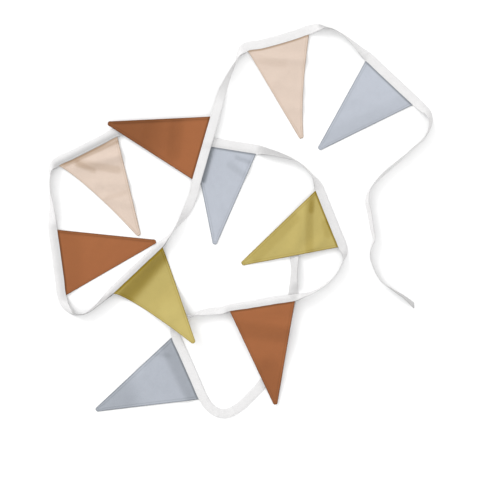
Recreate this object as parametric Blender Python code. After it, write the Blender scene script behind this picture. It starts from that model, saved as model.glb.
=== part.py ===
"""Fabric bunting: ten cotton pennants held in the fold of one long cotton tape that ends in two ties.

It lies in loose loops on a flat surface, as it was dropped there. The tape stands on its edge in
the bare stretches, lies flat or leans at the pennants, and crosses over its own second tie.
Metres, +Z up, the surface at z = 0, and the middle of the whole lay at x = y = 0.
"""

import math
from collections import namedtuple

import bmesh
import bpy
import numpy as np

MM = 0.001

# Tape: a bias strip folded lengthwise, open along one edge.
TAPE_WIDTH = 15 * MM
TAPE_LAYER = 1.0 * MM
LAYER_GAP = 0.3 * MM  # between the two layers where the tape is bare
HEAD_GAP = 1.9 * MM  # between the two layers where they hold a pennant
FOLD_WALL = 1.5 * MM  # cloth at the fold, measured across the width
HOLD_BEYOND_HEAD = 14 * MM  # the layers stay apart this far past a pennant's corner
CLOSING_LENGTH = 14 * MM  # and come together over this much more
TIE_SLANT = 0.45  # the first tie's end is cut this far off square

# Pennant: doubled cotton, turned and pressed, one sheet thick here.
SHEET = 1.0 * MM
HEAD_IN_TAPE = 5 * MM
HEAD_STRAIGHT = 2 * MM  # a pennant leaves the fold straight for this much before it bends
TIP_RADIUS = 4.2 * MM
TAPER = 0.32  # how far each side runs in for its length
COLUMNS = 8
HEAD_PLACES = 5  # points of the tape's own line along a pennant
HEAD_CLEAR = 4 * MM  # no section of the bare tape is nearer than this to a pennant's corner

# Sampling of the tape: a new section after this much length, turn or twist.
STEP_LENGTH = 17 * MM
STEP_TURN = math.radians(18)
STEP_TWIST = math.radians(25)
FINE_STEPS = 40  # points worked out between two rows of the route

# The lay is drawn about a middle that lies here from the middle of the whole.
LAY_SHIFT_X = -1.0 * MM
LAY_SHIFT_Y = -0.8 * MM

CLOTHS = {
    "blue": (0.49, 0.52, 0.60),
    "sand": (0.78, 0.64, 0.54),
    "rust": (0.39, 0.14, 0.05),
    "olive": (0.51, 0.42, 0.11),
    "white": (0.84, 0.84, 0.84),
}
COTTON_ROUGHNESS = 0.9

# One row for each pennant, in its order along the tape, in millimetres and degrees. ax, ay and bx, by
# are the corners where it leaves the tape, sag is how far the head line dips towards the tip between
# them, lean is how far the tape tips up there from lying flat, and lift is the tape's height.
Pennant = namedtuple(
    "Pennant", "name cloth side ax ay bx by tip_x tip_y sag lean_a lean_b lift_a lift_b"
)
LEFT, RIGHT = 1, -1
PENNANTS = (
    Pennant("flag_01_blue", "blue", LEFT, 286.5, 193.5, 208, 267, 131, 120, 0, 0, 0, 0, 0),
    Pennant("flag_02_sand", "sand", LEFT, 114, 310, 10, 281, 102, 138, 2, 5, 5, 0, 0),
    Pennant("flag_03_rust", "rust", RIGHT, -49, 174, -79, 70, -219, 163, 0, 0, 0, 6.5, 3.6),
    Pennant("flag_04_olive", "olive", LEFT, -128, -43, -209, -119.5, -75.5, -200.5, 0, 42, 42, 0, 0),
    Pennant("flag_05_rust", "rust", RIGHT, -288, -123.5, -303, -13, -139.5, -33, 0, 4, 4, 0, 0),
    Pennant("flag_06_sand", "sand", RIGHT, -302, 90.5, -202, 141, -167, -23, 0, 8, 8, 0, 0),
    Pennant("flag_07_blue", "blue", RIGHT, -78, 129, 27, 112, -42, -38, 0, 0, 0, 0, 0),
    Pennant("flag_08_olive", "olive", RIGHT, 125, 51, 163, -43.5, 3, -70.5, 0, 15, 15, 0, 0),
    Pennant("flag_09_rust", "rust", LEFT, 90.5, -132, -17.5, -149.5, 59, -303.5, 0, 42, 42, 4.6, 0),
    Pennant("flag_10_blue", "blue", RIGHT, -113, -193.5, -68.5, -294.5, -239, -313, 0, 0, 0, 0, 0),
)

# Height of each pennant's underside above the surface, in millimetres: a third and two thirds of the
# way to the tip, on the a side and the b side, and at the tip. bow is how far a side edge curves in,
# and bow_at is the share of the way to the tip where it is furthest in. settle is the distance over
# which the cloth comes down from its tape.
Rest = namedtuple("Rest", "near_a near_b far_a far_b tip bow_a bow_b bow_at settle_a settle_b")
RESTS = (
    Rest(0.4, 0.4, 0.0, 0.0, 0.0, 0, 0, 0.5, 17, 17),
    Rest(1.0, 1.5, 1.5, 0.5, 0.0, 4.5, 0, 0.55, 17, 17),
    Rest(5.8, 4.4, 5.8, 5.6, 6.2, 0, 0, 0.5, 17, 17),
    Rest(1.0, 1.5, 14.5, 11.0, 23.0, 0, 5.0, 0.35, 9, 17),
    Rest(0.0, 0.0, 0.0, 0.0, 0.0, 0, 0, 0.5, 17, 17),
    Rest(1.5, 1.0, 0.5, 1.5, 0.5, 5.5, 0, 0.4, 17, 17),
    Rest(0.0, 0.4, 0.0, 0.0, 0.5, 0, 0, 0.5, 17, 17),
    Rest(5.2, 5.4, 2.6, 3.0, 0.0, 0, 0, 0.5, 17, 17),
    Rest(12.0, 9.0, 6.0, 5.4, 2.4, 0, 0, 0.5, 17, 17),
    Rest(0.8, 0.8, 0.4, 0.4, 0.0, 0, 0, 0.5, 17, 17),
)

# Soft ridges (or troughs, where the height is below zero) that lie across the pennants, in millimetres:
# the pennant's place in the row, the two ends of the ridge, its half width and its height.
Fold = namedtuple("Fold", "pennant x0 y0 x1 y1 width height")
FOLDS = (
    Fold(2, 20, 277, 108, 268, 9, 3.5),
    Fold(2, 62, 235, 108, 215, 12, 2.5),
    Fold(2, 84, 190, 104, 188, 9, 2.0),
    Fold(3, -120, 168, -128, 105, 12, 1.6),
    Fold(3, -160, 166, -166, 135, 10, 1.2),
    Fold(6, -270, 96, -190, 112, 10, 6.0),
    Fold(6, -236, 64, -180, 62, 10, 3.0),
    Fold(6, -222, 40, -178, 28, 8, 2.5),
    Fold(7, 10, 105, 22, 60, 9, 2.5),
    Fold(8, 118, 40, 92, -45, 12, 4.0),
    Fold(8, 150, -20, 104, -58, 9, 3.0),
    Fold(9, -5, -190, 78, -180, 14, 2.0),
    Fold(10, -84, -290, -160, -250, 12, 4.5),
)

# The tape between the pennants, in millimetres and degrees: its middle line, how far it is turned about
# that line (0 flat with the open edge on the left, 90 on edge with the open edge up, 180 flat with the
# open edge on the right) and the height of its lowest edge.
Place = namedtuple("Place", "x y roll lift")
FIRST_TIE = (
    Place(288, -139, 60, 0),
    Place(273, -126, 75, 0),
    Place(253, -113, 84, 0),
    Place(233, -98, 86, 0),
    Place(222, -78, 86, 0),
    Place(216, -55, 84, 0),
    Place(218, -41, 92, 0),
    Place(222, -31, 100, 0),
    Place(219, -12, 108, 0),
    Place(215, 12, 113, 0),
    Place(211, 36, 110, 0),
    Place(214, 50, 98, 0),
    Place(227, 68, 80, 0),
    Place(246, 86, 76, 0),
    Place(263, 100, 80, 0),
    Place(285, 120, 86, 0),
    Place(305, 138, 84, 0),
    Place(314, 155, 76, 0),
    Place(316, 168, 64, 0),
    Place(311, 181, 42, 0),
    Place(301, 190, 18, 0),
)
BETWEEN = (
    (
        Place(205, 279, 28, 0),
        Place(187, 296, 65, 0),
        Place(167, 312, 84, 0),
        Place(146, 321, 84, 0),
        Place(131, 322, 45, 0),
    ),
    (
        Place(0, 279.5, 50, 0),
        Place(-6, 267, 88, 0),
        Place(-21, 236, 125, 0.5),
        Place(-31, 211, 165, 3),
        Place(-37, 191, 180, 5.5),
    ),
    (
        Place(-77, 46, 180, 2.4),
        Place(-84, 28, 172, 1.2),
        Place(-91, 13, 150, 0.4),
        Place(-100, -1, 114, 0),
        Place(-112, -17, 86, 0),
        Place(-122, -29, 66, 0),
    ),
    (
        Place(-224, -126, 60, 0),
        Place(-236, -138, 74, 0),
        Place(-261, -154, 90, 0),
        Place(-276, -153, 104, 0),
        Place(-289, -140, 145, 0),
    ),
    (
        Place(-311, 5, 142, 0),
        Place(-312, 27, 119, 0),
        Place(-315, 55, 96, 0),
        Place(-314.5, 76, 96, 0),
        Place(-313, 87, 120, 0),
    ),
    (
        Place(-173, 152, 180, 0),
        Place(-124, 147, 180, 0),
    ),
    (
        Place(40, 117, 146, 0),
        Place(67, 110, 119, 0),
        Place(97, 98, 94, 0),
        Place(118, 78, 98, 0),
        Place(127, 65, 134, 0),
    ),
    (
        Place(173, -52, 130, 0),
        Place(170, -67, 95, 0),
        Place(159, -88, 90, 0),
        Place(142, -105, 88, 0),
        Place(117, -119, 76, 2.6),
        Place(104, -123, 64, 4.5),
    ),
    (
        Place(-30, -147.5, 40, 0),
        Place(-47, -149, 42, 0),
        Place(-64, -151.5, 58, 0),
        Place(-79, -156, 96, 0),
        Place(-93, -162, 132, 0),
        Place(-103.5, -169.5, 152, 0),
        Place(-108.5, -180, 172, 0),
    ),
)
SECOND_TIE = (
    Place(-54, -304, 180, 0),
    Place(-46, -312, 180, 0),
    Place(-34, -318, 180, 0),
    Place(-20, -318, 180, 0),
    Place(-6, -311, 180, 0),
    Place(19, -289, 180, 0),
    Place(42, -262, 180, 0),
    Place(63, -224, 180, 0),
    Place(75, -181, 180, 0),
    Place(84, -139, 180, 0),
    Place(88.5, -116, 180, 0),
    Place(89, -100, 140, 0),
    Place(90, -80, 132, 0),
    Place(90, -58, 160, 0),
    Place(91, -25, 180, 0),
    Place(92, -2, 180, 0),
)


def hermite(knots, values, tangents, at):
    """The values of the cubic curve that has these values and tangents at the knots."""
    i = np.clip(np.searchsorted(knots, at, "right") - 1, 0, len(knots) - 2)
    span = knots[i + 1] - knots[i]
    t = (at - knots[i]) / span
    rise = values[i + 1] - values[i]
    return (
        values[i]
        + tangents[i] * span * t * (1 - t) ** 2
        + rise * t * t * (3 - 2 * t)
        - tangents[i + 1] * span * t * t * (1 - t)
    )


def round_curve(knots, values, at):
    """A round curve through the values, for the plan of the tape."""
    slope = np.diff(values) / np.diff(knots)
    gap = np.diff(knots)
    inner = (slope[:-1] * gap[1:] + slope[1:] * gap[:-1]) / (gap[:-1] + gap[1:])
    return hermite(knots, values, np.concatenate([slope[:1], inner, slope[-1:]]), at)


def steady_curve(knots, values, at):
    """A smooth curve through the values that never swings past them, for heights and turns."""
    slope = np.diff(values) / np.diff(knots)
    before, after = slope[:-1], slope[1:]
    same_way = before * after > 0
    inner = np.where(same_way, 2 * before * after / np.where(same_way, before + after, 1), 0)
    return hermite(knots, values, np.concatenate([[0], inner, [0]]), at)


def ease(t):
    t = np.clip(t, 0, 1)
    return t * t * (3 - 2 * t)


def head_places(pennant):
    """The tape's own middle line along one pennant, in even steps from its a corner to its b corner."""
    a = np.array([pennant.ax, pennant.ay], float)
    b = np.array([pennant.bx, pennant.by], float)
    along = (b - a) / np.linalg.norm(b - a)
    outward = -pennant.side * np.array([-along[1], along[0]])
    half = TAPE_WIDTH / MM / 2
    places = []
    for share in np.linspace(0, 1, HEAD_PLACES):
        lean = pennant.lean_a + (pennant.lean_b - pennant.lean_a) * share
        lift = pennant.lift_a + (pennant.lift_b - pennant.lift_a) * share
        sag = pennant.sag * 4 * share * (1 - share)
        point = a + (b - a) * share + outward * (half * math.cos(math.radians(lean)) - sag)
        roll = lean if pennant.side == LEFT else 180 - lean
        places.append(Place(point[0], point[1], roll, lift))
    return places


def route():
    """All rows of the tape's route in order, and the first and last row of each pennant's head."""
    rows = list(FIRST_TIE)
    heads = []
    for pennant, after in zip(PENNANTS, BETWEEN + (SECOND_TIE,)):
        places = head_places(pennant)
        heads.append((len(rows), len(rows) + len(places) - 1))
        rows += places
        rows += after
    return rows, heads


class Tape:
    """The tape's middle line as arc length, with its turn, height and opening at any point of it."""

    def __init__(self):
        rows, heads = route()
        table = np.array(rows, float) * (MM, MM, math.radians(1), MM)
        table[:, 0] += LAY_SHIFT_X
        table[:, 1] += LAY_SHIFT_Y
        knots = np.concatenate([[0], np.cumsum(np.hypot(*np.diff(table[:, :2], axis=0).T))])
        fine = np.unique(
            np.concatenate(
                [np.linspace(k0, k1, FINE_STEPS + 1) for k0, k1 in zip(knots, knots[1:])]
            )
        )
        self.x = round_curve(knots, table[:, 0], fine)
        self.y = round_curve(knots, table[:, 1], fine)
        self.roll = steady_curve(knots, table[:, 2], fine)
        self.lift = steady_curve(knots, table[:, 3], fine)
        steps = np.hypot(np.diff(self.x), np.diff(self.y))
        self.arc = np.concatenate([[0], np.cumsum(steps)])
        self.heading = np.unwrap(np.arctan2(np.gradient(self.y), np.gradient(self.x)))
        arc_at = np.interp(knots, fine, self.arc)
        self.heads = [(arc_at[first], arc_at[last]) for first, last in heads]

    def stations(self):
        """Arc lengths of the sections: closer together where the tape turns or twists, and one at
        each column of a pennant, so that the fold and the cloth in it follow each other exactly."""
        effort = np.diff(self.arc) / STEP_LENGTH
        effort += np.abs(np.diff(self.heading)) / STEP_TURN
        effort += np.abs(np.diff(self.roll)) / STEP_TWIST
        total = np.concatenate([[0], np.cumsum(effort)])
        free = np.interp(np.linspace(0, total[-1], math.ceil(total[-1]) + 1), total, self.arc)
        for start, end in self.heads:
            free = free[(free < start - HEAD_CLEAR) | (free > end + HEAD_CLEAR)]
        held = [np.linspace(start, end, COLUMNS + 1) for start, end in self.heads]
        return np.sort(np.concatenate([free, *held]))

    def gap(self, s):
        opening = 0.0
        for start, end in self.heads:
            past = max(start - s, s - end) - HOLD_BEYOND_HEAD
            opening = max(opening, 1 - ease(past / CLOSING_LENGTH))
        return LAYER_GAP + (HEAD_GAP - LAYER_GAP) * opening

    def frame(self, s):
        """(middle, along, across, up) of the tape's section, across towards the open edge."""
        heading = np.interp(s, self.arc, self.heading)
        roll = np.interp(s, self.arc, self.roll)
        along = np.array([math.cos(heading), math.sin(heading), 0])
        left = np.array([-along[1], along[0], 0])
        upright = np.array([0, 0, 1])
        across = math.cos(roll) * left + math.sin(roll) * upright
        up = math.cos(roll) * upright - math.sin(roll) * left
        thickness = 2 * TAPE_LAYER + self.gap(s)
        height = TAPE_WIDTH / 2 * abs(math.sin(roll)) + thickness / 2 * abs(math.cos(roll))
        middle = np.array(
            [
                np.interp(s, self.arc, self.x),
                np.interp(s, self.arc, self.y),
                height + np.interp(s, self.arc, self.lift),
            ]
        )
        return middle, along, across, up

    def ring(self, s, slant=0.0):
        """The folded section as a closed ring: outer face round the fold, then the inner face back."""
        middle, along, across, up = self.frame(s)
        inner = self.gap(s) / 2
        outer = inner + TAPE_LAYER
        open_edge, fold = TAPE_WIDTH / 2, -TAPE_WIDTH / 2
        section = (
            (open_edge, -outer),
            (fold + outer / 2, -outer),
            (fold, 0),
            (fold + outer / 2, outer),
            (open_edge, outer),
            (open_edge, inner),
            (fold + FOLD_WALL, inner),
            (fold + FOLD_WALL, -inner),
            (open_edge, -inner),
        )
        points = [middle + across * w + up * n + along * w * slant for w, n in section]
        return points, [w for w, _ in section]


def fold_height(place, x, y):
    """What the soft folds add to a pennant's height at a point."""
    total = np.zeros_like(x)
    for fold in FOLDS:
        if fold.pennant != place:
            continue
        x0, y0 = fold.x0 * MM + LAY_SHIFT_X, fold.y0 * MM + LAY_SHIFT_Y
        x1, y1 = fold.x1 * MM + LAY_SHIFT_X, fold.y1 * MM + LAY_SHIFT_Y
        dx, dy = x1 - x0, y1 - y0
        t = np.clip(((x - x0) * dx + (y - y0) * dy) / (dx * dx + dy * dy), 0, 1)
        away = np.hypot(x - x0 - t * dx, y - y0 - t * dy)
        total += fold.height * MM * np.exp(-((away / (fold.width * MM)) ** 2))
    return total


def sheet_rows(length):
    """Shares of the way to the tip at which a pennant has a row, with three in the round of the tip."""
    straight = np.linspace(0, 1 - TIP_RADIUS / length, 9)
    rounding = 1 - TIP_RADIUS * np.array([0.5, 0.12]) / length
    return np.concatenate([straight, rounding])


def pennant_points(tape, place, pennant, rest):
    """Rows of points down the middle of one pennant's cloth, from inside the fold to the tip."""
    start, end = tape.heads[place - 1]
    across_head = np.linspace(0, 1, COLUMNS + 1)
    frames = [tape.frame(start + (end - start) * u) for u in across_head]
    half = TAPE_WIDTH / 2
    rows = [
        np.array([middle + across * w for middle, _, across, _ in frames])
        for w in (half - HEAD_IN_TAPE, half, half + HEAD_STRAIGHT)
    ]
    inset = np.array([along for _, along, _, _ in frames]) * TAPER * HEAD_STRAIGHT
    rows[-1] += inset * (0.5 - across_head[:, None]) * 2
    head = rows[-1]
    tip = np.array([pennant.tip_x * MM + LAY_SHIFT_X, pennant.tip_y * MM + LAY_SHIFT_Y])
    centre = head[COLUMNS // 2, :2]
    length = np.linalg.norm(tip - centre)
    down = (tip - centre) / length
    side = np.array([down[1], -down[0]])
    if np.dot(side, head[-1, :2] - head[0, :2]) < 0:
        side = -side
    shoulder = tip - down * TIP_RADIUS
    signed = 2 * across_head - 1
    at_shoulder = shoulder + np.outer(signed, side) * TIP_RADIUS
    shares = sheet_rows(length)
    for v in shares[1:]:
        t = min(v / (1 - TIP_RADIUS / length), 1.0)
        flat = head[:, :2] * (1 - t) + at_shoulder * t
        past = (v - (1 - TIP_RADIUS / length)) * length
        if past > 1e-6:
            width = math.sqrt(TIP_RADIUS**2 - past**2)
            flat = shoulder + down * past + np.outer(signed, side) * width
        power = rest.bow_at / (1 - rest.bow_at)
        bow = t**power * (1 - t) / (rest.bow_at**power * (1 - rest.bow_at)) * MM
        flat = flat + np.outer((1 - across_head) ** 3 * rest.bow_a * bow, side)
        flat = flat - np.outer(across_head**3 * rest.bow_b * bow, side)
        near = rest.near_a + (rest.near_b - rest.near_a) * across_head
        far = rest.far_a + (rest.far_b - rest.far_a) * across_head
        knots = np.array([0, 1 / 3, 2 / 3, 1])
        lying = np.array(
            [
                steady_curve(knots, np.array([n, n, f, rest.tip]), np.array([v]))[0]
                for n, f in zip(near, far)
            ]
        )
        height = SHEET / 2 + lying * MM + fold_height(place, flat[:, 0], flat[:, 1])
        distance = np.hypot(*(flat - head[:, :2]).T)
        reach = rest.settle_a + (rest.settle_b - rest.settle_a) * across_head
        settle = np.exp(-((distance / (reach * MM)) ** 2))
        height = height + (head[:, 2] - height) * settle
        rows.append(np.column_stack([flat, np.maximum(height, SHEET / 2)]))
    return rows


def add_object(name, bm, cloth):
    mesh = bpy.data.meshes.new(name)
    bmesh.ops.recalc_face_normals(bm, faces=bm.faces)
    bm.to_mesh(mesh)
    bm.free()
    mesh.shade_smooth()
    mesh.set_sharp_from_angle(angle=math.radians(40))
    obj = bpy.data.objects.new(name, mesh)
    bpy.context.collection.objects.link(obj)
    obj.data.materials.append(cotton(cloth))
    return obj


def cotton(cloth):
    name = "cotton_" + cloth
    if name in bpy.data.materials:
        return bpy.data.materials[name]
    material = bpy.data.materials.new(name)
    material.use_nodes = True
    shader = material.node_tree.nodes["Principled BSDF"]
    shader.inputs["Base Color"].default_value = (*CLOTHS[cloth], 1)
    shader.inputs["Roughness"].default_value = COTTON_ROUGHNESS
    shader.inputs["Metallic"].default_value = 0
    return material


def build_tape(tape):
    """The tape as one solid: the folded section carried from the first tie to the second."""
    bm = bmesh.new()
    rings = []
    for i, s in enumerate(tape.stations()):
        points, reach = tape.ring(s, -TIE_SLANT if i == 0 else 0.0)
        rings.append([bm.verts.new(point) for point in points])
    for ring, following in zip(rings, rings[1:]):
        for k in range(len(ring)):
            near, far = ring[k - 1], ring[k]
            next_near, next_far = following[k - 1], following[k]
            # The two layers are cut along the same diagonal, or they would cross where the tape twists.
            if reach[k - 1] >= reach[k]:
                bm.faces.new((near, far, next_far))
                bm.faces.new((near, next_far, next_near))
            else:
                bm.faces.new((near, far, next_near))
                bm.faces.new((far, next_far, next_near))
    bm.faces.new(rings[0][::-1])
    bm.faces.new(rings[-1])
    return add_object("tape", bm, "white")


def build_pennant(tape, place, pennant, rest):
    """One pennant: a sheet through its rows of points, thickened to both sides of them."""
    rows = pennant_points(tape, place, pennant, rest)
    bm = bmesh.new()
    grid = [[bm.verts.new(point) for point in row] for row in rows]
    for upper, lower in zip(grid, grid[1:]):
        for k in range(COLUMNS):
            bm.faces.new((upper[k], upper[k + 1], lower[k + 1], lower[k]))
    obj = add_object(pennant.name, bm, pennant.cloth)
    thicken = obj.modifiers.new("Cloth thickness", "SOLIDIFY")
    thicken.thickness = SHEET
    thicken.offset = 0
    thicken.use_even_offset = True
    return obj


for leftover in list(bpy.data.objects):
    bpy.data.objects.remove(leftover, do_unlink=True)
the_tape = Tape()
build_tape(the_tape)
for number, (row, lie) in enumerate(zip(PENNANTS, RESTS), 1):
    build_pennant(the_tape, number, row, lie)
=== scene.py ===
"""The looks of a cotton bunting that lies in loose loops on a pale floor, seen from straight above."""

import math
from collections import namedtuple

import bmesh
import bpy
import numpy as np
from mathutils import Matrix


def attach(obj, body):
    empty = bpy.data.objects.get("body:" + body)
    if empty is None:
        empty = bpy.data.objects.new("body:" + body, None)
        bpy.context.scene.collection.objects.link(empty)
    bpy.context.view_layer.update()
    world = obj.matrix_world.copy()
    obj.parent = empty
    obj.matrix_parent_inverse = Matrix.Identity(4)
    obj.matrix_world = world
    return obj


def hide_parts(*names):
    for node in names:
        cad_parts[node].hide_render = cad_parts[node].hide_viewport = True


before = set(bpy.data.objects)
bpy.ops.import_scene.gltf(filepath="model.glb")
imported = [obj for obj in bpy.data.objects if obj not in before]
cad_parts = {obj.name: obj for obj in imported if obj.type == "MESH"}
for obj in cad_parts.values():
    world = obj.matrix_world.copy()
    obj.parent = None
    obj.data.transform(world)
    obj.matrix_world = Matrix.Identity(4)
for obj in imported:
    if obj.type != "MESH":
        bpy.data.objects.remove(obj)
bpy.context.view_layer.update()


# Camera. It hangs high over the lay and looks straight down through a long lens, so that upright
# stretches of tape show their edges alone. The picture is square and takes in this much of the floor.
PICTURE_WIDTH = 0.7968
PICTURE_MIDDLE = (-0.0010, -0.0315)
CAMERA_HEIGHT = 4.0

camera_data = bpy.data.cameras.new("camera")
camera_data.lens = camera_data.sensor_width * CAMERA_HEIGHT / PICTURE_WIDTH
camera = bpy.data.objects.new("camera", camera_data)
camera.location = (*PICTURE_MIDDLE, CAMERA_HEIGHT)
bpy.context.collection.objects.link(camera)
bpy.context.scene.camera = camera


# Floor and light. A smooth white floor in a bright even room, where it comes out pure white. A low
# soft lamp at the upper left throws a long faint shadow of each upright stretch of tape to the lower
# right.
MM = 0.001
FLOOR_SIZE = 8.0
FLOOR_WHITE = 0.77
FLOOR_DROP = 0.2 * MM  # just under the cloth, which reaches down to zero
LAMP_BEARING = 138  # degrees, counted from +X towards +Y
LAMP_ELEVATION = 31  # degrees above the floor
LAMP_STRENGTH = 1.47
LAMP_WIDTH = 26  # degrees of sky that it fills, which sets how soft the shadows are
ROOM_STRENGTH = 1.37

bm = bmesh.new()
bmesh.ops.create_grid(bm, x_segments=1, y_segments=1, size=FLOOR_SIZE / 2)
bmesh.ops.translate(bm, verts=bm.verts, vec=(0, 0, -FLOOR_DROP))
floor_mesh = bpy.data.meshes.new("floor")
bm.to_mesh(floor_mesh)
bm.free()
floor = bpy.data.objects.new("floor", floor_mesh)
bpy.context.collection.objects.link(floor)
floor_paint = bpy.data.materials.new("floor_paint")
floor_paint.use_nodes = True
floor_shader = floor_paint.node_tree.nodes["Principled BSDF"]
floor_shader.inputs["Base Color"].default_value = (FLOOR_WHITE, FLOOR_WHITE, FLOOR_WHITE, 1)
floor_shader.inputs["Roughness"].default_value = 1
floor_shader.inputs["Specular IOR Level"].default_value = 0
floor.data.materials.append(floor_paint)

lamp_data = bpy.data.lights.new("lamp", "SUN")
lamp_data.energy = LAMP_STRENGTH
lamp_data.angle = math.radians(LAMP_WIDTH)
lamp = bpy.data.objects.new("lamp", lamp_data)
lamp.rotation_euler = (0, math.radians(90 - LAMP_ELEVATION), math.radians(LAMP_BEARING))
bpy.context.collection.objects.link(lamp)

room = bpy.data.worlds.new("room")
room.use_nodes = True
room.node_tree.nodes["Background"].inputs["Color"].default_value = (1, 1, 1, 1)
room.node_tree.nodes["Background"].inputs["Strength"].default_value = ROOM_STRENGTH
bpy.context.scene.world = room
bpy.context.scene.view_settings.view_transform = "Standard"


# Tape. One strip of white cotton cut on the bias, its raw edges turned in and the whole folded in
# half lengthwise, so each half is two layers of cloth. It holds the pennants in its fold and runs on
# past them as a tie at each end. All sizes in its tables are millimetres and degrees.
TAPE_WIDTH = 15 * MM
TAPE_HALF = 0.6 * MM  # one half: the outer cloth and its turned-in edge, pressed together
BARE_GAP = 0.16 * MM  # between the halves where the tape is bare
HEAD_GAP = 1.3 * MM  # between the halves where they hold a pennant
HEAD_PLACES = 5  # points of the tape's line along a pennant
HOLD_BEYOND_HEAD = 4 * MM  # the halves stay apart this far past a pennant's corner
CLOSING_LENGTH = 22 * MM  # and come together over this much more
TIE_SLANT = 0.45  # the first tie's end is cut this far off square
SEAM_FROM_EDGE = 1.9 * MM  # the stitching runs this far in from the open edge
SEAM_PINCH = 0.13 * MM  # and draws the halves together by this much
LAY_SHIFT = np.array([-1.0, -0.8]) * MM  # from the tables' own middle to the middle of the lay

# Where each pennant is held: the side of the tape's line that it hangs on, its two corners in the order
# in which the line passes them, how far its head bows in between them, how far the tape leans over
# there, and how high the tape's lowest edge is at each corner.
LEFT, RIGHT = 1, -1
Head = namedtuple("Head", "side ax ay bx by sag lean lift_a lift_b")
HEADS = (
    Head(LEFT, 286.5, 193.5, 208, 267, 0, 0, 0, 0),
    Head(LEFT, 114, 310, 10, 281, 2, 5, 0, 0),
    Head(RIGHT, -49, 174, -79, 70, 0, 0, 6.5, 3.6),
    Head(LEFT, -128, -43, -209, -119.5, 0, 42, 0, 0),
    Head(RIGHT, -288, -123.5, -303, -13, 0, 4, 0, 0),
    Head(RIGHT, -302, 90.5, -202, 141, 0, 8, 0, 0),
    Head(RIGHT, -78, 129, 27, 112, 0, 0, 0, 0),
    Head(RIGHT, 125, 51, 163, -43.5, 0, 15, 0, 0),
    Head(LEFT, 90.5, -132, -17.5, -149.5, 0, 42, 4.6, 0),
    Head(RIGHT, -113, -193.5, -68.5, -294.5, 0, 0, 0, 0),
)

# The bare stretches: the tape's middle line, its turn about that line (0 flat with the open edge on
# the left, 90 on edge with the open edge up, 180 flat with it on the right) and its lowest edge.
Place = namedtuple("Place", "x y roll lift")
FIRST_TIE = (
    Place(288, -139, 60, 0),
    Place(273, -126, 75, 0),
    Place(253, -113, 84, 0),
    Place(233, -98, 86, 0),
    Place(222, -78, 86, 0),
    Place(216, -55, 84, 0),
    Place(218, -41, 92, 0),
    Place(222, -31, 100, 0),
    Place(219, -12, 108, 0),
    Place(215, 12, 113, 0),
    Place(211, 36, 110, 0),
    Place(214, 50, 98, 0),
    Place(227, 68, 80, 0),
    Place(246, 86, 76, 0),
    Place(263, 100, 80, 0),
    Place(285, 120, 86, 0),
    Place(305, 138, 84, 0),
    Place(314, 155, 76, 0),
    Place(316, 168, 64, 0),
    Place(311, 181, 42, 0),
    Place(301, 190, 18, 0),
)
BETWEEN = (
    (
        Place(205, 279, 28, 0),
        Place(187, 296, 65, 0),
        Place(167, 312, 84, 0),
        Place(146, 321, 84, 0),
        Place(131, 322, 45, 0),
    ),
    (
        Place(0, 279.5, 50, 0),
        Place(-6, 267, 88, 0),
        Place(-21, 236, 125, 0.5),
        Place(-31, 211, 165, 3),
        Place(-37, 191, 180, 5.5),
    ),
    (
        Place(-77, 46, 180, 2.4),
        Place(-84, 28, 172, 1.2),
        Place(-91, 13, 150, 0.4),
        Place(-100, -1, 114, 0),
        Place(-112, -17, 86, 0),
        Place(-122, -29, 66, 0),
    ),
    (
        Place(-224, -126, 60, 0),
        Place(-236, -138, 74, 0),
        Place(-261, -154, 90, 0),
        Place(-276, -153, 104, 0),
        Place(-289, -140, 145, 0),
    ),
    (
        Place(-311, 5, 142, 0),
        Place(-312, 27, 119, 0),
        Place(-315, 55, 96, 0),
        Place(-314.5, 76, 96, 0),
        Place(-313, 87, 120, 0),
    ),
    (
        Place(-173, 152, 180, 0),
        Place(-124, 147, 180, 0),
    ),
    (
        Place(40, 117, 146, 0),
        Place(67, 110, 119, 0),
        Place(97, 98, 94, 0),
        Place(118, 78, 98, 0),
        Place(127, 65, 134, 0),
    ),
    (
        Place(173, -52, 130, 0),
        Place(170, -67, 95, 0),
        Place(159, -88, 90, 0),
        Place(142, -105, 88, 0),
        Place(117, -119, 76, 2.6),
        Place(104, -123, 64, 4.5),
    ),
    (
        Place(-30, -147.5, 40, 0),
        Place(-47, -149, 42, 0),
        Place(-64, -151.5, 58, 0),
        Place(-79, -156, 96, 0),
        Place(-93, -162, 132, 0),
        Place(-103.5, -169.5, 152, 0),
        Place(-108.5, -180, 172, 0),
    ),
)
SECOND_TIE = (
    Place(-54, -304, 180, 0),
    Place(-46, -312, 180, 0),
    Place(-34, -318, 180, 0),
    Place(-20, -318, 180, 0),
    Place(-6, -311, 180, 0),
    Place(19, -289, 180, 0),
    Place(42, -262, 180, 0),
    Place(63, -224, 180, 0),
    Place(75, -181, 180, 0),
    Place(84, -139, 180, 0),
    Place(88.5, -116, 180, 0),
    Place(89, -100, 140, 0),
    Place(90, -80, 132, 0),
    Place(90, -58, 160, 0),
    Place(91, -25, 180, 0),
    Place(92, -2, 180, 0),
)

# Small buckles where the tape is bent flat round a corner, and where it was folded in its packet:
# the two ends of each ridge, its half width and its height.
Buckle = namedtuple("Buckle", "x0 y0 x1 y1 width height")
TAPE_BUCKLES = (
    Buckle(296, 197, 305, 181, 2.2, 0.9),
    Buckle(303, 195, 309, 184, 2.0, 0.8),
    Buckle(290, 202, 293, 193, 1.8, 0.2),
    Buckle(-50, -304, -44, -314, 1.8, 0.8),
    Buckle(-39, -309, -37, -322, 1.8, 0.9),
    Buckle(-27, -310, -27, -324, 1.8, 0.7),
    Buckle(-14, -308, -10, -320, 1.8, 0.8),
    Buckle(4, -296, 12, -308, 2.0, 0.5),
)

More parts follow.
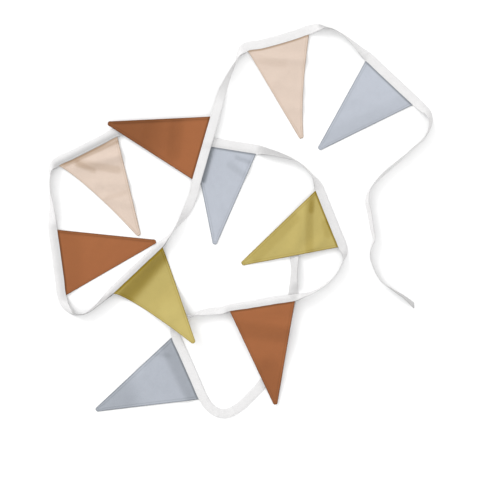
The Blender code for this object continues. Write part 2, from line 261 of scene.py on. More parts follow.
# Painted shade on the tape, over faces that lean away from the lamp, laid out as the buckles are, with
# its depth in place of the height.
PAINTED_TAPE_SHADE = (
    Buckle(290, -141, 252, -112, 7, 0.6),
    Buckle(135, 325, 158, 313, 5, 0.6),
    Buckle(-128, -43, -209, -119.5, 8, 0.6),
    Buckle(-215, -127, -273, -157, 8, 0.7),
    Buckle(-288, -123.5, -303, -13, 10, 0.4),
    Buckle(-302, 90.5, -202, 141, 9, 0.8),
    Buckle(-78, 129, 27, 112, 6, 0.15),
    Buckle(38, 118, 82, 106, 9, 0.6),
    Buckle(125, 51, 163, -43.5, 9, 0.15),
    Buckle(90.5, -132, -17.5, -149.5, 8, 0.4),
    Buckle(90, -68, 89, -120, 8, 0.3),
)


def cubic_curve(knots, values, tangents, at):
    """The values of the cubic curve that has these values and tangents at the knots."""
    i = np.clip(np.searchsorted(knots, at, "right") - 1, 0, len(knots) - 2)
    span = knots[i + 1] - knots[i]
    t = (at - knots[i]) / span
    rise = values[i + 1] - values[i]
    return (
        values[i]
        + tangents[i] * span * t * (1 - t) ** 2
        + rise * t * t * (3 - 2 * t)
        - tangents[i + 1] * span * t * t * (1 - t)
    )


def round_curve(knots, values, at):
    """A round curve through the values, for the plan of the tape."""
    slope = np.diff(values) / np.diff(knots)
    gap = np.diff(knots)
    inner = (slope[:-1] * gap[1:] + slope[1:] * gap[:-1]) / (gap[:-1] + gap[1:])
    return cubic_curve(knots, values, np.concatenate([slope[:1], inner, slope[-1:]]), at)


def steady_curve(knots, values, at):
    """A smooth curve through the values that never swings past them, for heights and turns."""
    slope = np.diff(values) / np.diff(knots)
    before, after = slope[:-1], slope[1:]
    same_way = before * after > 0
    inner = np.where(same_way, 2 * before * after / np.where(same_way, before + after, 1), 0)
    return cubic_curve(knots, values, np.concatenate([[0], inner, [0]]), at)


def ease(t):
    """Runs from 0 to 1 with a soft start and a soft end."""
    t = np.clip(t, 0, 1)
    return t * t * (3 - 2 * t)


def head_places(head):
    """The tape's own middle line along one pennant, in even steps from one corner to the other."""
    a, b = np.array([head.ax, head.ay]), np.array([head.bx, head.by])
    along = (b - a) / np.linalg.norm(b - a)
    outward = -head.side * np.array([-along[1], along[0]])
    reach = TAPE_WIDTH / MM / 2 * math.cos(math.radians(head.lean))
    roll = head.lean if head.side == LEFT else 180 - head.lean
    places = []
    for share in np.linspace(0, 1, HEAD_PLACES):
        x, y = a + (b - a) * share + outward * (reach - head.sag * 4 * share * (1 - share))
        places.append(Place(x, y, roll, head.lift_a + (head.lift_b - head.lift_a) * share))
    return places


ROUTE_POINTS = 6000


def tape_route():
    """The tape's line by arc length, and the arc lengths at which each head starts and ends."""
    rows, ends = list(FIRST_TIE), []
    for head, after in zip(HEADS, BETWEEN + (SECOND_TIE,)):
        ends.append((len(rows), len(rows) + HEAD_PLACES - 1))
        rows += head_places(head)
        rows += after
    table = np.array(rows, float) * (MM, MM, math.radians(1), MM)
    table[:, :2] += LAY_SHIFT
    knots = np.concatenate([[0], np.cumsum(np.hypot(*np.diff(table[:, :2], axis=0).T))])
    fine = np.linspace(0, knots[-1], ROUTE_POINTS)
    x, y = (round_curve(knots, table[:, k], fine) for k in (0, 1))
    roll, lift = (steady_curve(knots, table[:, k], fine) for k in (2, 3))
    arc = np.concatenate([[0], np.cumsum(np.hypot(np.diff(x), np.diff(y)))])
    heading = np.unwrap(np.arctan2(np.gradient(y), np.gradient(x)))
    at = np.interp(knots, fine, arc)
    line = {"arc": arc, "x": x, "y": y, "heading": heading, "roll": roll, "lift": lift}
    return line, [(at[first], at[last]) for first, last in ends]


tape_line, head_spans = tape_route()
tape_length = float(tape_line["arc"][-1])


def half_gap(s):
    """Half the space between the tape's two halves at arc length s."""
    opening = np.zeros_like(s)
    for start, end in head_spans:
        past = np.maximum(start - s, s - end) - HOLD_BEYOND_HEAD
        opening = np.maximum(opening, 1 - ease(past / CLOSING_LENGTH))
    return (BARE_GAP + (HEAD_GAP - BARE_GAP) * opening) / 2


def ridges(table, x, y, power=2):
    """The summed heights of a table's soft ridges at each point, in the table's own unit. A higher
    power gives them flatter tops and steeper sides."""
    total = np.zeros_like(x)
    for ridge in table:
        (x0, y0), (x1, y1) = (
            np.array([ridge.x0, ridge.y0]) * MM + LAY_SHIFT,
            np.array([ridge.x1, ridge.y1]) * MM + LAY_SHIFT,
        )
        dx, dy = x1 - x0, y1 - y0
        t = np.clip(((x - x0) * dx + (y - y0) * dy) / (dx * dx + dy * dy), 0, 1)
        away = np.hypot(x - x0 - t * dx, y - y0 - t * dy)
        total += ridge.height * np.exp(-((away / (ridge.width * MM)) ** power))
    return total


# The tape wanders a little out of its middle plane, most at its open edge, where the bias gives. It does
# so in two even waves and one whose length drifts. Flat stretches have less of it than upright ones.
EVEN_WAVES = ((0.10 * MM, 6.1 * MM, 0.0), (0.14 * MM, 9.7 * MM, 1.3))  # height, length over 2 pi, phase
DRIFTING_WAVE = (0.16 * MM, 3.7 * MM)
DRIFT, DRIFT_LENGTH = 2, 31 * MM
FLAT_SHARE = 0.25


def tape_wander(s):
    """How far the tape's open edge is out of its middle plane at arc length s."""
    height, length = DRIFTING_WAVE
    total = height * np.sin(s / length + DRIFT * np.sin(s / DRIFT_LENGTH))
    for height, length, phase in EVEN_WAVES:
        total = total + height * np.sin(s / length + phase)
    return total


def tape_point(s, across, out):
    """The point at arc length s of the tape, this far across its width and out of its middle plane."""
    heading, roll, lift = (
        np.interp(s, tape_line["arc"], tape_line[k]) for k in ("heading", "roll", "lift")
    )
    forward = np.stack([np.cos(heading), np.sin(heading), 0 * s], axis=-1)
    left = np.stack([-np.sin(heading), np.cos(heading), 0 * s], axis=-1)
    upright = np.array([0, 0, 1.0])
    cos, sin = np.cos(roll)[..., None], np.sin(roll)[..., None]
    over, normal = cos * left + sin * upright, cos * upright - sin * left
    uprightness, flatness = np.abs(np.sin(roll)), np.abs(np.cos(roll))
    height = TAPE_WIDTH / 2 * uprightness
    height = height + (half_gap(s) + TAPE_HALF) * flatness + lift
    middle = np.stack(
        [np.interp(s, tape_line["arc"], tape_line[k]) for k in ("x", "y")] + [height], axis=-1
    )
    from_fold = across / TAPE_WIDTH + 0.5  # 0 at the fold, 1 at the open edge
    out = out + tape_wander(s) * from_fold * (FLAT_SHARE + (1 - FLAT_SHARE) * uprightness)
    point = middle + over * across[..., None] + normal * out[..., None]
    buckles = ridges(TAPE_BUCKLES, point[..., 0], point[..., 1]) * MM
    point[..., 2] += buckles * flatness
    return point, forward


# The outer face of one half from its open rim towards the fold: the distance across from the middle of
# the tape, and how far the face stands out there. The stitching draws it in.
OPEN_EDGE, FOLD = TAPE_WIDTH / 2, -TAPE_WIDTH / 2
RIM = TAPE_HALF / 2
SEAM = OPEN_EDGE - SEAM_FROM_EDGE
OUTER_FACE = (
    (OPEN_EDGE - RIM, 0),
    (OPEN_EDGE - 0.9 * MM, 0.02 * MM),
    (SEAM + 0.45 * MM, -0.4 * SEAM_PINCH),
    (SEAM, -SEAM_PINCH),
    (SEAM - 0.45 * MM, -0.4 * SEAM_PINCH),
    (SEAM - 1.1 * MM, 0.05 * MM),
    (SEAM - 3.5 * MM, 0.08 * MM),
    (SEAM - 6.5 * MM, 0.04 * MM),
    (SEAM - 9.0 * MM, 0.02 * MM),
)
INNER_FACE = (OPEN_EDGE - RIM, SEAM, 0, FOLD + 3 * MM)
FOLD_TURNS = np.radians([-90, -60, -30, 0, 30, 60, 90])
RIM_TURNS = np.radians([45, 90, 135])


def tape_section(inner):
    """The folded section as rows of (across, out), from the lower half's open rim round the fold and
    back along the inner faces. inner is half the gap between the halves, one value a station."""
    outer = inner + TAPE_HALF
    one = np.ones_like(inner)
    below = [(w * one, -outer - bulge) for w, bulge in OUTER_FACE]
    above = [(w * one, outer + bulge) for w, bulge in reversed(OUTER_FACE)]
    round_fold = [(FOLD + outer * (1 - np.cos(a)), outer * np.sin(a)) for a in FOLD_TURNS]
    upper_rim = [
        (OPEN_EDGE - RIM + RIM * np.sin(a) * one, inner + RIM + RIM * np.cos(a)) for a in RIM_TURNS
    ]
    inside = [(w * one, inner) for w in INNER_FACE]
    inner_fold = [(FOLD + TAPE_HALF * one, 0 * inner)]
    back = [(w, -n) for w, n in reversed(inside)]
    lower_rim = [(w, -n) for w, n in reversed(upper_rim)]
    return below + round_fold + above + upper_rim + inside + inner_fold + back + lower_rim


def cloth_grid(columns, rows, points, uvs):
    """A bmesh grid of columns by rows whose vertices are moved to points[row, column]."""
    bm = bmesh.new()
    bmesh.ops.create_grid(bm, x_segments=columns - 1, y_segments=rows - 1, size=1)
    bm.verts.ensure_lookup_table()
    uv_layer = bm.loops.layers.uv.new("cloth")
    for face in bm.faces:
        for loop in face.loops:
            loop[uv_layer].uv = uvs[loop.vert.index // columns, loop.vert.index % columns]
    for vert in bm.verts:
        vert.co = points[vert.index // columns, vert.index % columns]
    return bm


JOIN_DISTANCE = 0.001 * MM


def close_tube(bm):
    """Joins the first and last columns of a rolled-up grid and closes its two ends."""
    bmesh.ops.remove_doubles(bm, verts=bm.verts, dist=JOIN_DISTANCE)
    bmesh.ops.holes_fill(bm, edges=[e for e in bm.edges if e.is_boundary], sides=0)
    bmesh.ops.recalc_face_normals(bm, faces=bm.faces)


def add_piece(name, bm, material):
    """Makes a finished bmesh a smooth piece of this material, at the origin."""
    mesh = bpy.data.meshes.new(name)
    bm.to_mesh(mesh)
    bm.free()
    mesh.shade_smooth()
    piece = bpy.data.objects.new(name, mesh)
    bpy.context.collection.objects.link(piece)
    piece.data.materials.append(material)
    return piece


PAINTED_SHADE_RANGE = (-0.5, 1.1)  # below 0 it is a painted highlight


def mark_painted_shade(piece, values):
    """Keeps the painted shade at each point, from 0 the dye's own colour to 1 its colour in full painted
    shade.
    """
    mark = piece.data.attributes.new("painted_shade", "FLOAT", "POINT")
    mark.data.foreach_set("value", np.clip(np.ravel(values), *PAINTED_SHADE_RANGE))


THREAD_PITCH = 0.42 * MM
PAINTED_SHADE_POWER = 4  # how crisply the painted shade ends
CLOTH_ROUGHNESS = 0.88
CLOTH_SHINE = 0.25
SHEEN_ROUGHNESS = 0.55
# Painted shade in the weave's hollows and a painted highlight on the threads' tops.
WEAVE_PAINTED_SHADE = (0.85, 1.11)  # in the hollows between the threads and on top of them
WEAVE_BUMP = 0.8
WEAVE_HEIGHT = 0.08 * MM
# Uneven threads along the cloth, uneven threads across it, and mottled dye: how fine each is along the
# cloth's two ways, and its darkest and lightest shade.
MOTTLES = (
    ((70, 2400, 1), 0.92, 1.08),
    ((2400, 70, 1), 0.92, 1.08),
    ((48, 48, 48), 0.955, 1.045),
)
MOTTLE_DETAIL = 3


def woven_cotton(name, colour, shaded_colour, turn, sheen):
    """A plain weave, turned this many degrees on the cloth: thick and thin threads, soft mottling of
    the dye, painted shade in the hollows between the threads, and painted shade in folds, under the
    tape and along the edges, with painted highlights where it runs below zero."""
    material = bpy.data.materials.new(name)
    material.use_nodes = True
    tree = material.node_tree
    shader = tree.nodes["Principled BSDF"]
    shader.inputs["Roughness"].default_value = CLOTH_ROUGHNESS
    shader.inputs["Specular IOR Level"].default_value = CLOTH_SHINE
    shader.inputs["Sheen Weight"].default_value = sheen
    shader.inputs["Sheen Roughness"].default_value = SHEEN_ROUGHNESS

    def node(kind, **settings):
        made = tree.nodes.new(kind)
        for key, value in settings.items():
            setattr(made, key, value)
        return made

    def mapping(scale, turned=0.0):
        made = node("ShaderNodeMapping")
        made.inputs["Scale"].default_value = scale
        made.inputs["Rotation"].default_value = (0, 0, math.radians(turned))
        return made

    def remap(source, low, high):
        """Turns a value from 0 to 1 into one from low to high."""
        made = node("ShaderNodeMapRange")
        made.inputs["To Min"].default_value = low
        made.inputs["To Max"].default_value = high
        tree.links.new(source, made.inputs["Value"])
        return made.outputs["Result"]

    def times(first, second):
        made = node("ShaderNodeMath", operation="MULTIPLY")
        tree.links.new(first, made.inputs[0])
        tree.links.new(second, made.inputs[1])
        return made.outputs["Value"]

    uv = node("ShaderNodeUVMap", uv_map="cloth")
    cloth = mapping((1, 1, 1), turn)
    tree.links.new(uv.outputs["UV"], cloth.inputs["Vector"])
    bands = 2 * math.pi / (20 * THREAD_PITCH)  # this texture repeats every 2 pi / 20 of its scale
    threads = []
    for direction in ("X", "Y"):
        wave = node("ShaderNodeTexWave", wave_type="BANDS", bands_direction=direction)
        wave.inputs["Scale"].default_value = bands
        wave.inputs["Distortion"].default_value = 0
        tree.links.new(cloth.outputs["Vector"], wave.inputs["Vector"])
        threads.append(wave.outputs["Fac"])
    over_under = node("ShaderNodeTexChecker")
    over_under.inputs["Scale"].default_value = 1 / THREAD_PITCH
    tree.links.new(cloth.outputs["Vector"], over_under.inputs["Vector"])
    weave = node("ShaderNodeMix", data_type="FLOAT")
    weave_inputs = {socket.identifier: socket for socket in weave.inputs}
    tree.links.new(over_under.outputs["Fac"], weave_inputs["Factor_Float"])
    tree.links.new(threads[0], weave_inputs["A_Float"])
    tree.links.new(threads[1], weave_inputs["B_Float"])
    weave_height = weave.outputs[0]

    # The weave's painted shade, then the dye's own mottling.
    shade = remap(weave_height, *WEAVE_PAINTED_SHADE)
    for scale, darkest, lightest in MOTTLES:
        spread = mapping(scale)
        tree.links.new(cloth.outputs["Vector"], spread.inputs["Vector"])
        noise = node("ShaderNodeTexNoise")
        noise.inputs["Scale"].default_value = 1
        noise.inputs["Detail"].default_value = MOTTLE_DETAIL
        tree.links.new(spread.outputs["Vector"], noise.inputs["Vector"])
        shade = times(shade, remap(noise.outputs["Fac"], darkest, lightest))
    # A point attribute mixes the dye towards its colour in full painted shade, and past its own colour
    # into a painted highlight where it is below zero.
    painted_shade = node("ShaderNodeAttribute", attribute_name="painted_shade")
    tone = node("ShaderNodeMix", data_type="RGBA", clamp_factor=False)
    tone_inputs = {socket.identifier: socket for socket in tone.inputs}
    tone_inputs["A_Color"].default_value = (*colour, 1)
    tone_inputs["B_Color"].default_value = (*shaded_colour, 1)
    tree.links.new(painted_shade.outputs["Fac"], tone_inputs["Factor_Float"])
    toned = next(socket for socket in tone.outputs if socket.identifier == "Result_Color")
    dye = node("ShaderNodeVectorMath", operation="SCALE")
    tree.links.new(toned, dye.inputs["Vector"])
    tree.links.new(shade, dye.inputs["Scale"])
    tree.links.new(dye.outputs["Vector"], shader.inputs["Base Color"])

    bump = node("ShaderNodeBump")
    bump.inputs["Strength"].default_value = WEAVE_BUMP
    bump.inputs["Distance"].default_value = WEAVE_HEIGHT
    tree.links.new(weave_height, bump.inputs["Height"])
    tree.links.new(bump.outputs["Normal"], shader.inputs["Normal"])
    return material


# The tape's white, and its colour in full painted shade.
WHITE, SHADED_WHITE = (0.575, 0.57, 0.57), (0.316, 0.313, 0.313)
BIAS = 45  # degrees between the threads and the length of a bias strip
TAPE_SHEEN = 0.05

white_cotton = woven_cotton("white_cotton", WHITE, SHADED_WHITE, BIAS, TAPE_SHEEN)

STATION_LENGTH = 2.4 * MM
stations = np.linspace(0, tape_length, math.ceil(tape_length / STATION_LENGTH) + 1)
section = tape_section(half_gap(stations))
section.append(section[0])
across = np.stack([w for w, _ in section], axis=1)
out = np.stack([n for _, n in section], axis=1)
along = np.repeat(stations[:, None], len(section), axis=1)
tape_points, forward = tape_point(along, across, out)
slant = np.where(np.arange(len(stations)) == 0, -TIE_SLANT, 0.0)[:, None, None]
tape_points = tape_points + forward * across[..., None] * slant
girth = np.concatenate([[0], np.cumsum(np.hypot(np.diff(across[0]), np.diff(out[0])))])
tape_uvs = np.stack([along, np.repeat(girth[None, :], len(stations), axis=0)], axis=-1)

bm = cloth_grid(len(section), len(stations), tape_points, tape_uvs)
close_tube(bm)
tape = add_piece("tape_cloth", bm, white_cotton)
places = np.empty(3 * len(tape.data.vertices))
tape.data.vertices.foreach_get("co", places)
mark_painted_shade(tape, ridges(PAINTED_TAPE_SHADE, places[0::3], places[1::3], PAINTED_SHADE_POWER))
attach(tape, "root")
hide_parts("tape")


# Stitching. One row of white thread runs the whole length of the tape near its open edge, through
# both halves and every pennant between them. It lies on the cloth for each stitch and dips into it
# between two, on both faces.
STITCH_PITCH = 2.8 * MM
STITCH_STEPS = 5  # sections of thread in a stitch
THREAD_RADIUS = 0.17 * MM
THREAD_SIDES = 5
THREAD_PROUD = 0.5  # the thread's middle is this many of its radii above the drawn-in cloth
THREAD_DIP = 0.22 * MM
DIP_FROM = 0.35  # the thread dips where the cosine of its place in the stitch is above this
THREAD_LOWEST = 0.02 * MM  # above the floor, where the tape lies flat on its stitches
SEAM_END = 2 * MM  # the seam stops this far short of the tape's ends
# The thread's twist shows as bands of painted shade in its grooves and painted light on its plies.
THREAD_GROOVE_SHADE, THREAD_PLY_LIGHT = (0.50, 0.50, 0.49, 1), (0.62, 0.62, 0.61, 1)
PLY_SCALE = 900  # of the twist that shows along the thread
THREAD_ROUGHNESS = 0.6
THREAD_SHEEN = 0.2

white_thread = bpy.data.materials.new("white_thread")
white_thread.use_nodes = True
thread_shader = white_thread.node_tree.nodes["Principled BSDF"]
thread_shader.inputs["Roughness"].default_value = THREAD_ROUGHNESS
thread_shader.inputs["Sheen Weight"].default_value = THREAD_SHEEN
ply = white_thread.node_tree.nodes.new("ShaderNodeTexWave")
ply.inputs["Scale"].default_value = PLY_SCALE
ply_uv = white_thread.node_tree.nodes.new("ShaderNodeUVMap")
ply_uv.uv_map = "cloth"
# Painted shade and light of the twist, in bands along the thread.
ply_painted_shade = white_thread.node_tree.nodes.new("ShaderNodeValToRGB")
ply_painted_shade.color_ramp.elements[0].color = THREAD_GROOVE_SHADE
ply_painted_shade.color_ramp.elements[1].color = THREAD_PLY_LIGHT
white_thread.node_tree.links.new(ply_uv.outputs["UV"], ply.inputs["Vector"])
white_thread.node_tree.links.new(ply.outputs["Fac"], ply_painted_shade.inputs["Fac"])
white_thread.node_tree.links.new(ply_painted_shade.outputs["Color"], thread_shader.inputs["Base Color"])


def thread_row(name, face):
    """The thread on one face of the tape, 1 the upper in its section and -1 the lower."""
    end = tape_length - SEAM_END
    s = np.linspace(SEAM_END, end, int((end - SEAM_END) / STITCH_PITCH * STITCH_STEPS) + 1)
    stitch = np.cos(2 * math.pi * s / STITCH_PITCH)
    level = half_gap(s) + TAPE_HALF - SEAM_PINCH + THREAD_RADIUS * THREAD_PROUD
    level = level - THREAD_DIP * np.clip(stitch - DIP_FROM, 0, 1) / (1 - DIP_FROM)
    turns = np.linspace(0, 2 * math.pi, THREAD_SIDES + 1)
    s_grid = np.repeat(s[:, None], len(turns), axis=1)
    across = SEAM + THREAD_RADIUS * np.cos(turns)[None, :] + 0 * s_grid
    out = face * level[:, None] + THREAD_RADIUS * np.sin(turns)[None, :]
    points, _ = tape_point(s_grid, across, out)
    points[..., 2] = np.maximum(points[..., 2], THREAD_LOWEST)
    uvs = np.stack([s_grid, np.repeat(turns[None, :] * THREAD_RADIUS, len(s), axis=0)], axis=-1)
    bm = cloth_grid(len(turns), len(s), points, uvs)
    close_tube(bm)
    row = add_piece(name, bm, white_thread)
    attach(row, "root")
    return row


stitching = [thread_row("stitching_upper", 1), thread_row("stitching_lower", -1)]


# Pennants. Each is two triangles of dyed cotton sewn face to face along the long sides, turned right
# side out and pressed, so a narrow strip of seam allowance stands up a little inside each long edge
# and the tip is blunt. The raw heads are held in the fold of the tape.
HEAD_IN_TAPE = 5 * MM
HEAD_ROWS = np.array([-HEAD_IN_TAPE, -3 * MM, -1.2 * MM, 0])  # rows of the cloth inside the fold
HEAD_STRAIGHT = 2 * MM  # a pennant leaves the fold straight for this much before it bends
TIP_RADIUS = 4.2 * MM
TIP_ROWS = np.array([0.3, 0.55, 0.75, 0.9, 0.97])  # rows round the blunt tip, as shares of its radius
TAPER = 0.32  # how far each side runs in for its length
CLOTH_THICKNESS = 1.05 * MM  # over the seam allowance, the thickest place

Cut = namedtuple(
    "Cut",
    "name cloth tip_x tip_y near_a near_b far_a far_b tip bow_a bow_b bow_at settle_a settle_b",
)
# tip_x and tip_y are the tip's place. near, far and tip are the height of the underside above the
# floor, a third and two thirds of the way to the tip on the a side and the b side, and at the tip.
# bow is how far a long side curves in, furthest at bow_at of the way to the tip. settle is the distance
# over which the cloth comes down from its tape on each side. All lengths are in millimetres.
CUTS = (
    Cut("flag_01_blue", "blue", 131, 120, 0.4, 0.4, 0.0, 0.0, 0.0, 0, 0, 0.5, 17, 17),
    Cut("flag_02_sand", "sand", 102, 138, 1.0, 1.5, 1.5, 0.5, 0.0, 4.5, 0, 0.55, 17, 17),
    Cut("flag_03_rust", "rust", -219, 163, 5.8, 4.4, 5.8, 5.6, 6.2, 0, 0, 0.5, 17, 17),
    Cut("flag_04_olive", "olive", -75.5, -200.5, 1.0, 1.5, 14.5, 11.0, 23.0, 0, 5.0, 0.35, 9, 17),
    Cut("flag_05_rust", "rust", -139.5, -33, 0.0, 0.0, 0.0, 0.0, 0.0, 0, 0, 0.5, 17, 17),
    Cut("flag_06_sand", "sand", -167, -23, 1.5, 1.0, 0.5, 1.5, 0.5, 5.5, 0, 0.4, 17, 17),
    Cut("flag_07_blue", "blue", -42, -38, 0.0, 0.4, 0.0, 0.0, 0.5, 0, 0, 0.5, 17, 17),
    Cut("flag_08_olive", "olive", 3, -70.5, 5.2, 5.4, 2.6, 3.0, 0.0, 0, 0, 0.5, 17, 17),
    Cut("flag_09_rust", "rust", 59, -303.5, 12.0, 9.0, 6.0, 5.4, 2.4, 0, 0, 0.5, 17, 17),
    Cut("flag_10_blue", "blue", -239, -313, 0.8, 0.8, 0.4, 0.4, 0.0, 0, 0, 0.5, 17, 17),
)

# Folds and creases across the pennants: the pennant's number, the two ends, half width and height.
Fold = namedtuple("Fold", "pennant x0 y0 x1 y1 width height")
FOLDS = (
    Fold(2, 20, 277, 108, 268, 9, 3.5),
    Fold(2, 62, 235, 108, 215, 12, 2.5),
    Fold(2, 84, 190, 104, 188, 9, 2.0),
    Fold(3, -120, 168, -128, 105, 12, 1.6),
    Fold(3, -160, 166, -166, 135, 10, 1.2),
    Fold(6, -270, 96, -190, 112, 10, 6.0),
    Fold(6, -236, 64, -180, 62, 10, 3.0),
    Fold(6, -222, 40, -178, 28, 8, 2.5),
    Fold(7, 10, 105, 22, 60, 9, 2.5),
    Fold(8, 118, 40, 92, -45, 12, 4.0),
    Fold(8, 150, -20, 104, -58, 9, 3.0),
    Fold(9, -5, -190, 78, -180, 14, 2.0),
    Fold(10, -84, -290, -160, -250, 12, 4.5),
)

# Painted shade on the pennants in folds and creases, under the tape and in its shadow, and over a few
# broad darker patches, with painted highlights where the depth is below zero; laid out as the folds are,
# with their depth in place of the height.
PAINTED_CLOTH_SHADE = (
    Fold(1, 262, 186, 214, 230, 30, -0.07),
    Fold(1, 150, 132, 270, 190, 19, 0.16),
    Fold(2, 37, 267, 72, 261, 7, 0.12),
    Fold(3, -212, 163, -192, 159, 80, 0.62),
    Fold(3, -104, 165, -110, 112, 12, 0.2),
    Fold(3, -208, 164, -52, 171, 4, 0.3),
    Fold(4, -131, -54, -187, -121, 16, 0.74),
    Fold(4, -115, -150, -85, -190, 20, -0.12),
    Fold(5, -298, -17, -145, -33, 3, 0.3),
    Fold(5, -285, -32, -278, -106, 20, 0.15),
    Fold(6, -268, 96, -203, 86, 7, 0.35),
    Fold(6, -268, 96, -243, 84, 5, 0.3),
    Fold(6, -291, 93, -203, 133, 3.5, 0.6),
    Fold(6, -222, 38, -190, 48, 4, 0.15),
    Fold(7, -47, 121, -60, 68, 4, 0.9),
    Fold(7, -5, 106, 14, 99, 4, 0.3),
    Fold(7, -17, 94, 6, 78, 6, 0.2),
    Fold(8, 115, 30, 115, -47, 7, 0.3),
    Fold(8, 121, 46, 118, 18, 5, 0.4),
    Fold(8, 141, -2, 145, -22, 6, 0.25),
    Fold(8, 27, -60, 90, 5, 9, 0.2),
    Fold(9, -2, -178, 84, -188, 14, 0.28),
    Fold(9, 44, -251, 61, -297, 27, 0.33),
    Fold(10, -182, -284, -132, -256, 90, 0.2),
    Fold(10, -122, -206, -80, -290, 12, 0.4),
    Fold(10, -142, -219, -119, -223, 4, 0.2),
    Fold(10, -235, -310, -202, -299, 38, 0.3),
)

# Columns of the cloth, as distances in from each long edge, and the cloth's thickness there as a
# share of the thickest: a rounded pressed edge, the seam allowance, and the plain cloth inside it.
# Painted shade is how far the dye is darkened there, at the rounded edge and along the step where the
# allowance ends.
EDGE_COLUMNS = np.array([0, 0.22, 0.6, 1.3, 2.3, 3.4, 4.2, 4.9, 6.0]) * MM
EDGE_FULLNESS = np.array([0.35, 0.75, 0.95, 1.0, 1.0, 0.97, 0.86, 0.78, 0.78])
EDGE_PAINTED_SHADE = np.array([1.0, 0.9, 0.75, 0.45, 0.0, -0.05, 0.3, 0.25, 0.0])
EDGE_ROOM = 1.3  # where a row has no room for this many times the edge columns, they draw together
INNER_FULLNESS = 0.78
INNER_COLUMNS = 26
ROW_LENGTH = 2.0 * MM
FEWEST_ROWS = 12
HEAD_PAINTED_SHADOW_PLACES = np.array([2.0, 2.7, 3.8]) * MM  # painted shadow of the tape's edge on the cloth close under it
HEAD_PAINTED_SHADOW = np.array([0.8, 0.4, 0.0])

# Slight hollows and rises that pressed cloth keeps: the lengths of their waves in millimetres, the
# longest of which is the highest, the height of that one, and what keeps their sum above zero.
HOLLOW_LENGTHS = (62, 41, 30, 22)
HOLLOW_HEIGHT = 0.16 * MM
HOLLOW_RAISE = 2.5
EDGE_CALM = 0.8  # the sewn edges keep this much less of them

# Each dye's own colour, and its colour in full painted shade.
DYES = {
    "blue": ((0.343, 0.365, 0.41), (0.178, 0.193, 0.213)),
    "sand": ((0.505, 0.41, 0.345), (0.303, 0.213, 0.145)),
    "rust": ((0.255, 0.086, 0.027), (0.128, 0.040, 0.008)),
    "olive": ((0.355, 0.285, 0.09), (0.188, 0.128, 0.006)),
}
STRAIGHT_GRAIN = 0
PENNANT_SHEEN = 0.12
cottons = {
    cloth: woven_cotton(cloth + "_cotton", dye, shaded_dye, STRAIGHT_GRAIN, PENNANT_SHEEN)
    for cloth, (dye, shaded_dye) in DYES.items()
}


def cloth_columns(half_width):
    """Where the columns cross a row this wide to each side, from -1 to 1, closer at the edges."""
    room = EDGE_COLUMNS[-1] * EDGE_ROOM
    edge = EDGE_COLUMNS * min(1, half_width / room) / half_width
    inner = np.linspace(-(1 - edge[-1]), 1 - edge[-1], INNER_COLUMNS + 2)[1:-1]
    return np.concatenate([edge - 1, inner, 1 - edge[::-1]])


def unevenness(x, y, number):
    """The height of one pennant's own hollows and rises, never below zero."""
    draw = np.random.default_rng(number)
    total = np.zeros_like(x)
    for length in HOLLOW_LENGTHS:
        bearing, phase = draw.uniform(0, 2 * math.pi, 2)
        run = x * math.cos(bearing) + y * math.sin(bearing)
        total += length / HOLLOW_LENGTHS[0] * np.sin(2 * math.pi * run / (length * MM) + phase)
    return (total + HOLLOW_RAISE) * HOLLOW_HEIGHT


def cloth_middle(number, cut, share, signed):
    """Points in the middle of a pennant's cloth. share runs from 0 at the tape to 1 at the start of
    the blunt tip and on round it, and signed from -1 to 1 across."""
    start, end = head_spans[number - 1]
    u = (signed + 1) / 2
    top, along = tape_point(
        start + (end - start) * u, np.full_like(u, TAPE_WIDTH / 2 + HEAD_STRAIGHT), 0 * u
    )
    top = top - along * (signed * TAPER * HEAD_STRAIGHT)[..., None]
    corner_s = np.array([start, (start + end) / 2, end])
    corners, _ = tape_point(corner_s, np.full(3, TAPE_WIDTH / 2), np.zeros(3))
    tip = np.array([cut.tip_x, cut.tip_y]) * MM + LAY_SHIFT
    length = np.linalg.norm(tip - corners[1, :2])
    down = (tip - corners[1, :2]) / length
    side = np.array([down[1], -down[0]])
    if np.dot(side, (corners[2] - corners[0])[:2]) < 0:
        side = -side
    shoulder = tip - down * TIP_RADIUS
    t = np.clip(share, 0, 1)
    round_past = np.clip(share - 1, 0, 1) * TIP_RADIUS
    width = np.sqrt(TIP_RADIUS**2 - round_past**2)
    low = shoulder + down * round_past[..., None] + side * (signed * width)[..., None]
    plan = top[..., :2] * (1 - t)[..., None] + low * t[..., None]
    power = cut.bow_at / (1 - cut.bow_at)
    bow = t**power * (1 - t) / (cut.bow_at**power * (1 - cut.bow_at)) * MM
    plan = plan + side * (((1 - u) ** 3 * cut.bow_a - u**3 * cut.bow_b) * bow)[..., None]
    near = cut.near_a + (cut.near_b - cut.near_a) * u
    far = cut.far_a + (cut.far_b - cut.far_a) * u
    v = t * (1 - TIP_RADIUS / length) + round_past / length
    knots = np.array([0, 1 / 3, 2 / 3, 1])
    at_near, at_far, at_tip = (
        steady_curve(knots, np.array(values, float), v)
        for values in ((1, 1, 0, 0), (0, 0, 1, 0), (0, 0, 0, 1))
    )
    lying = at_near * near + at_far * far + at_tip * cut.tip
    own = [fold for fold in FOLDS if fold.pennant == number]
    lying = lying + ridges(own, plan[..., 0], plan[..., 1])
    height = CLOTH_THICKNESS / 2 + lying * MM
    uneven = unevenness(plan[..., 0], plan[..., 1], number)
    height = height + uneven * (1 - EDGE_CALM * signed**4)
    distance = np.hypot(*np.moveaxis(plan - top[..., :2], -1, 0))
    reach = (cut.settle_a + (cut.settle_b - cut.settle_a) * u) * MM
    settle = np.exp(-((distance / reach) ** 2))
    height = height + (top[..., 2] - height) * settle
    return np.concatenate([plan, np.maximum(height, CLOTH_THICKNESS / 2)[..., None]], axis=-1), length


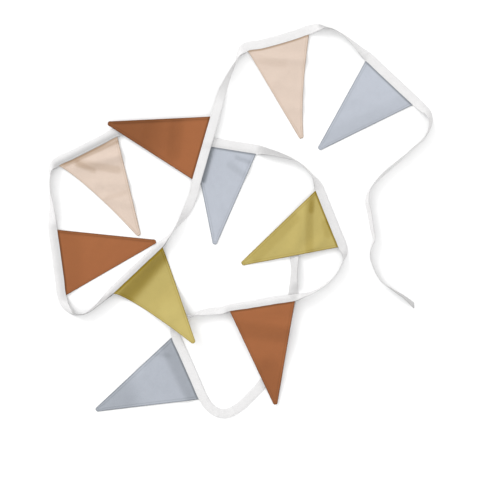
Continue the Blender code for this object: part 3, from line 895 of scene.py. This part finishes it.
def build_pennant(number, head, cut):
    """One pennant: a single sheet with its edges, folds, dye and painted shade, given two layers by its
    thickness.
    """
    start, end = head_spans[number - 1]
    head_width = math.hypot(head.bx - head.ax, head.by - head.ay) * MM
    _, length = cloth_middle(number, cut, np.zeros(1), np.zeros(1))
    rows = max(FEWEST_ROWS, round((length - TIP_RADIUS) / ROW_LENGTH))
    shares = np.concatenate([np.linspace(0, 1, rows), 1 + TIP_ROWS])
    points, uvs = [], []
    for depth in HEAD_ROWS:
        signed = cloth_columns(head_width / 2)
        s = start + (end - start) * (signed + 1) / 2
        points.append(tape_point(s, np.full_like(s, TAPE_WIDTH / 2 + depth), 0 * s)[0])
        uvs.append(np.stack([signed * head_width / 2, np.full_like(s, -depth)], axis=-1))
    for share in shares:
        past = max(share - 1, 0) * TIP_RADIUS
        half_width = head_width / 2 * (1 - share) + TIP_RADIUS * share
        if past > 0:
            half_width = math.sqrt(TIP_RADIUS**2 - past**2)
        signed = cloth_columns(half_width)
        points.append(cloth_middle(number, cut, np.full_like(signed, share), signed)[0])
        below = HEAD_STRAIGHT + min(share, 1) * (length - TIP_RADIUS - HEAD_STRAIGHT) + past
        uvs.append(np.stack([signed * half_width, np.full_like(signed, -below)], axis=-1))
    uvs = np.array(uvs)
    from_tip = length + uvs[..., 1]
    inner = np.full(INNER_COLUMNS, INNER_FULLNESS)
    fullness = np.concatenate([EDGE_FULLNESS, inner, EDGE_FULLNESS[::-1]])
    fullness = np.repeat(fullness[None, :], len(uvs), axis=0)
    near_tip = from_tip < EDGE_COLUMNS[3]
    tip_fullness = np.interp(from_tip, EDGE_COLUMNS, EDGE_FULLNESS)
    fullness = np.where(near_tip, np.minimum(fullness, tip_fullness), fullness)
    # Painted shade along the rounded edges, round the tip and along the step of the allowance.
    painted_shade = np.concatenate([EDGE_PAINTED_SHADE, 0 * inner, EDGE_PAINTED_SHADE[::-1]])
    tip_painted_shade = np.interp(from_tip, EDGE_COLUMNS, EDGE_PAINTED_SHADE)
    painted_shade = np.maximum(np.repeat(painted_shade[None, :], len(uvs), axis=0), tip_painted_shade)
    # Painted shadow of the tape's edge on the cloth just under it.
    below_tape = -uvs[..., 1]
    painted_shade = np.maximum(painted_shade, np.interp(below_tape, HEAD_PAINTED_SHADOW_PLACES, HEAD_PAINTED_SHADOW))
    points = np.array(points)
    # Painted shade and painted highlights from the table.
    own = [place for place in PAINTED_CLOTH_SHADE if place.pennant == number]
    painted_shade = painted_shade + ridges(own, points[..., 0], points[..., 1], PAINTED_SHADE_POWER)

    bm = cloth_grid(uvs.shape[1], len(uvs), points, uvs)
    bmesh.ops.recalc_face_normals(bm, faces=bm.faces)
    piece = add_piece(cut.name + "_cloth", bm, cottons[cut.cloth])
    mark_painted_shade(piece, painted_shade)
    group = piece.vertex_groups.new(name="fullness")
    for index, weight in enumerate(fullness.ravel()):
        group.add([index], weight, "REPLACE")
    layers = piece.modifiers.new("two layers", "SOLIDIFY")
    layers.thickness = CLOTH_THICKNESS
    layers.offset = 0
    layers.vertex_group = group.name
    layers.use_even_offset = True
    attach(piece, "root")
    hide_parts(cut.name)


for number, (head, cut) in enumerate(zip(HEADS, CUTS), 1):
    build_pennant(number, head, cut)


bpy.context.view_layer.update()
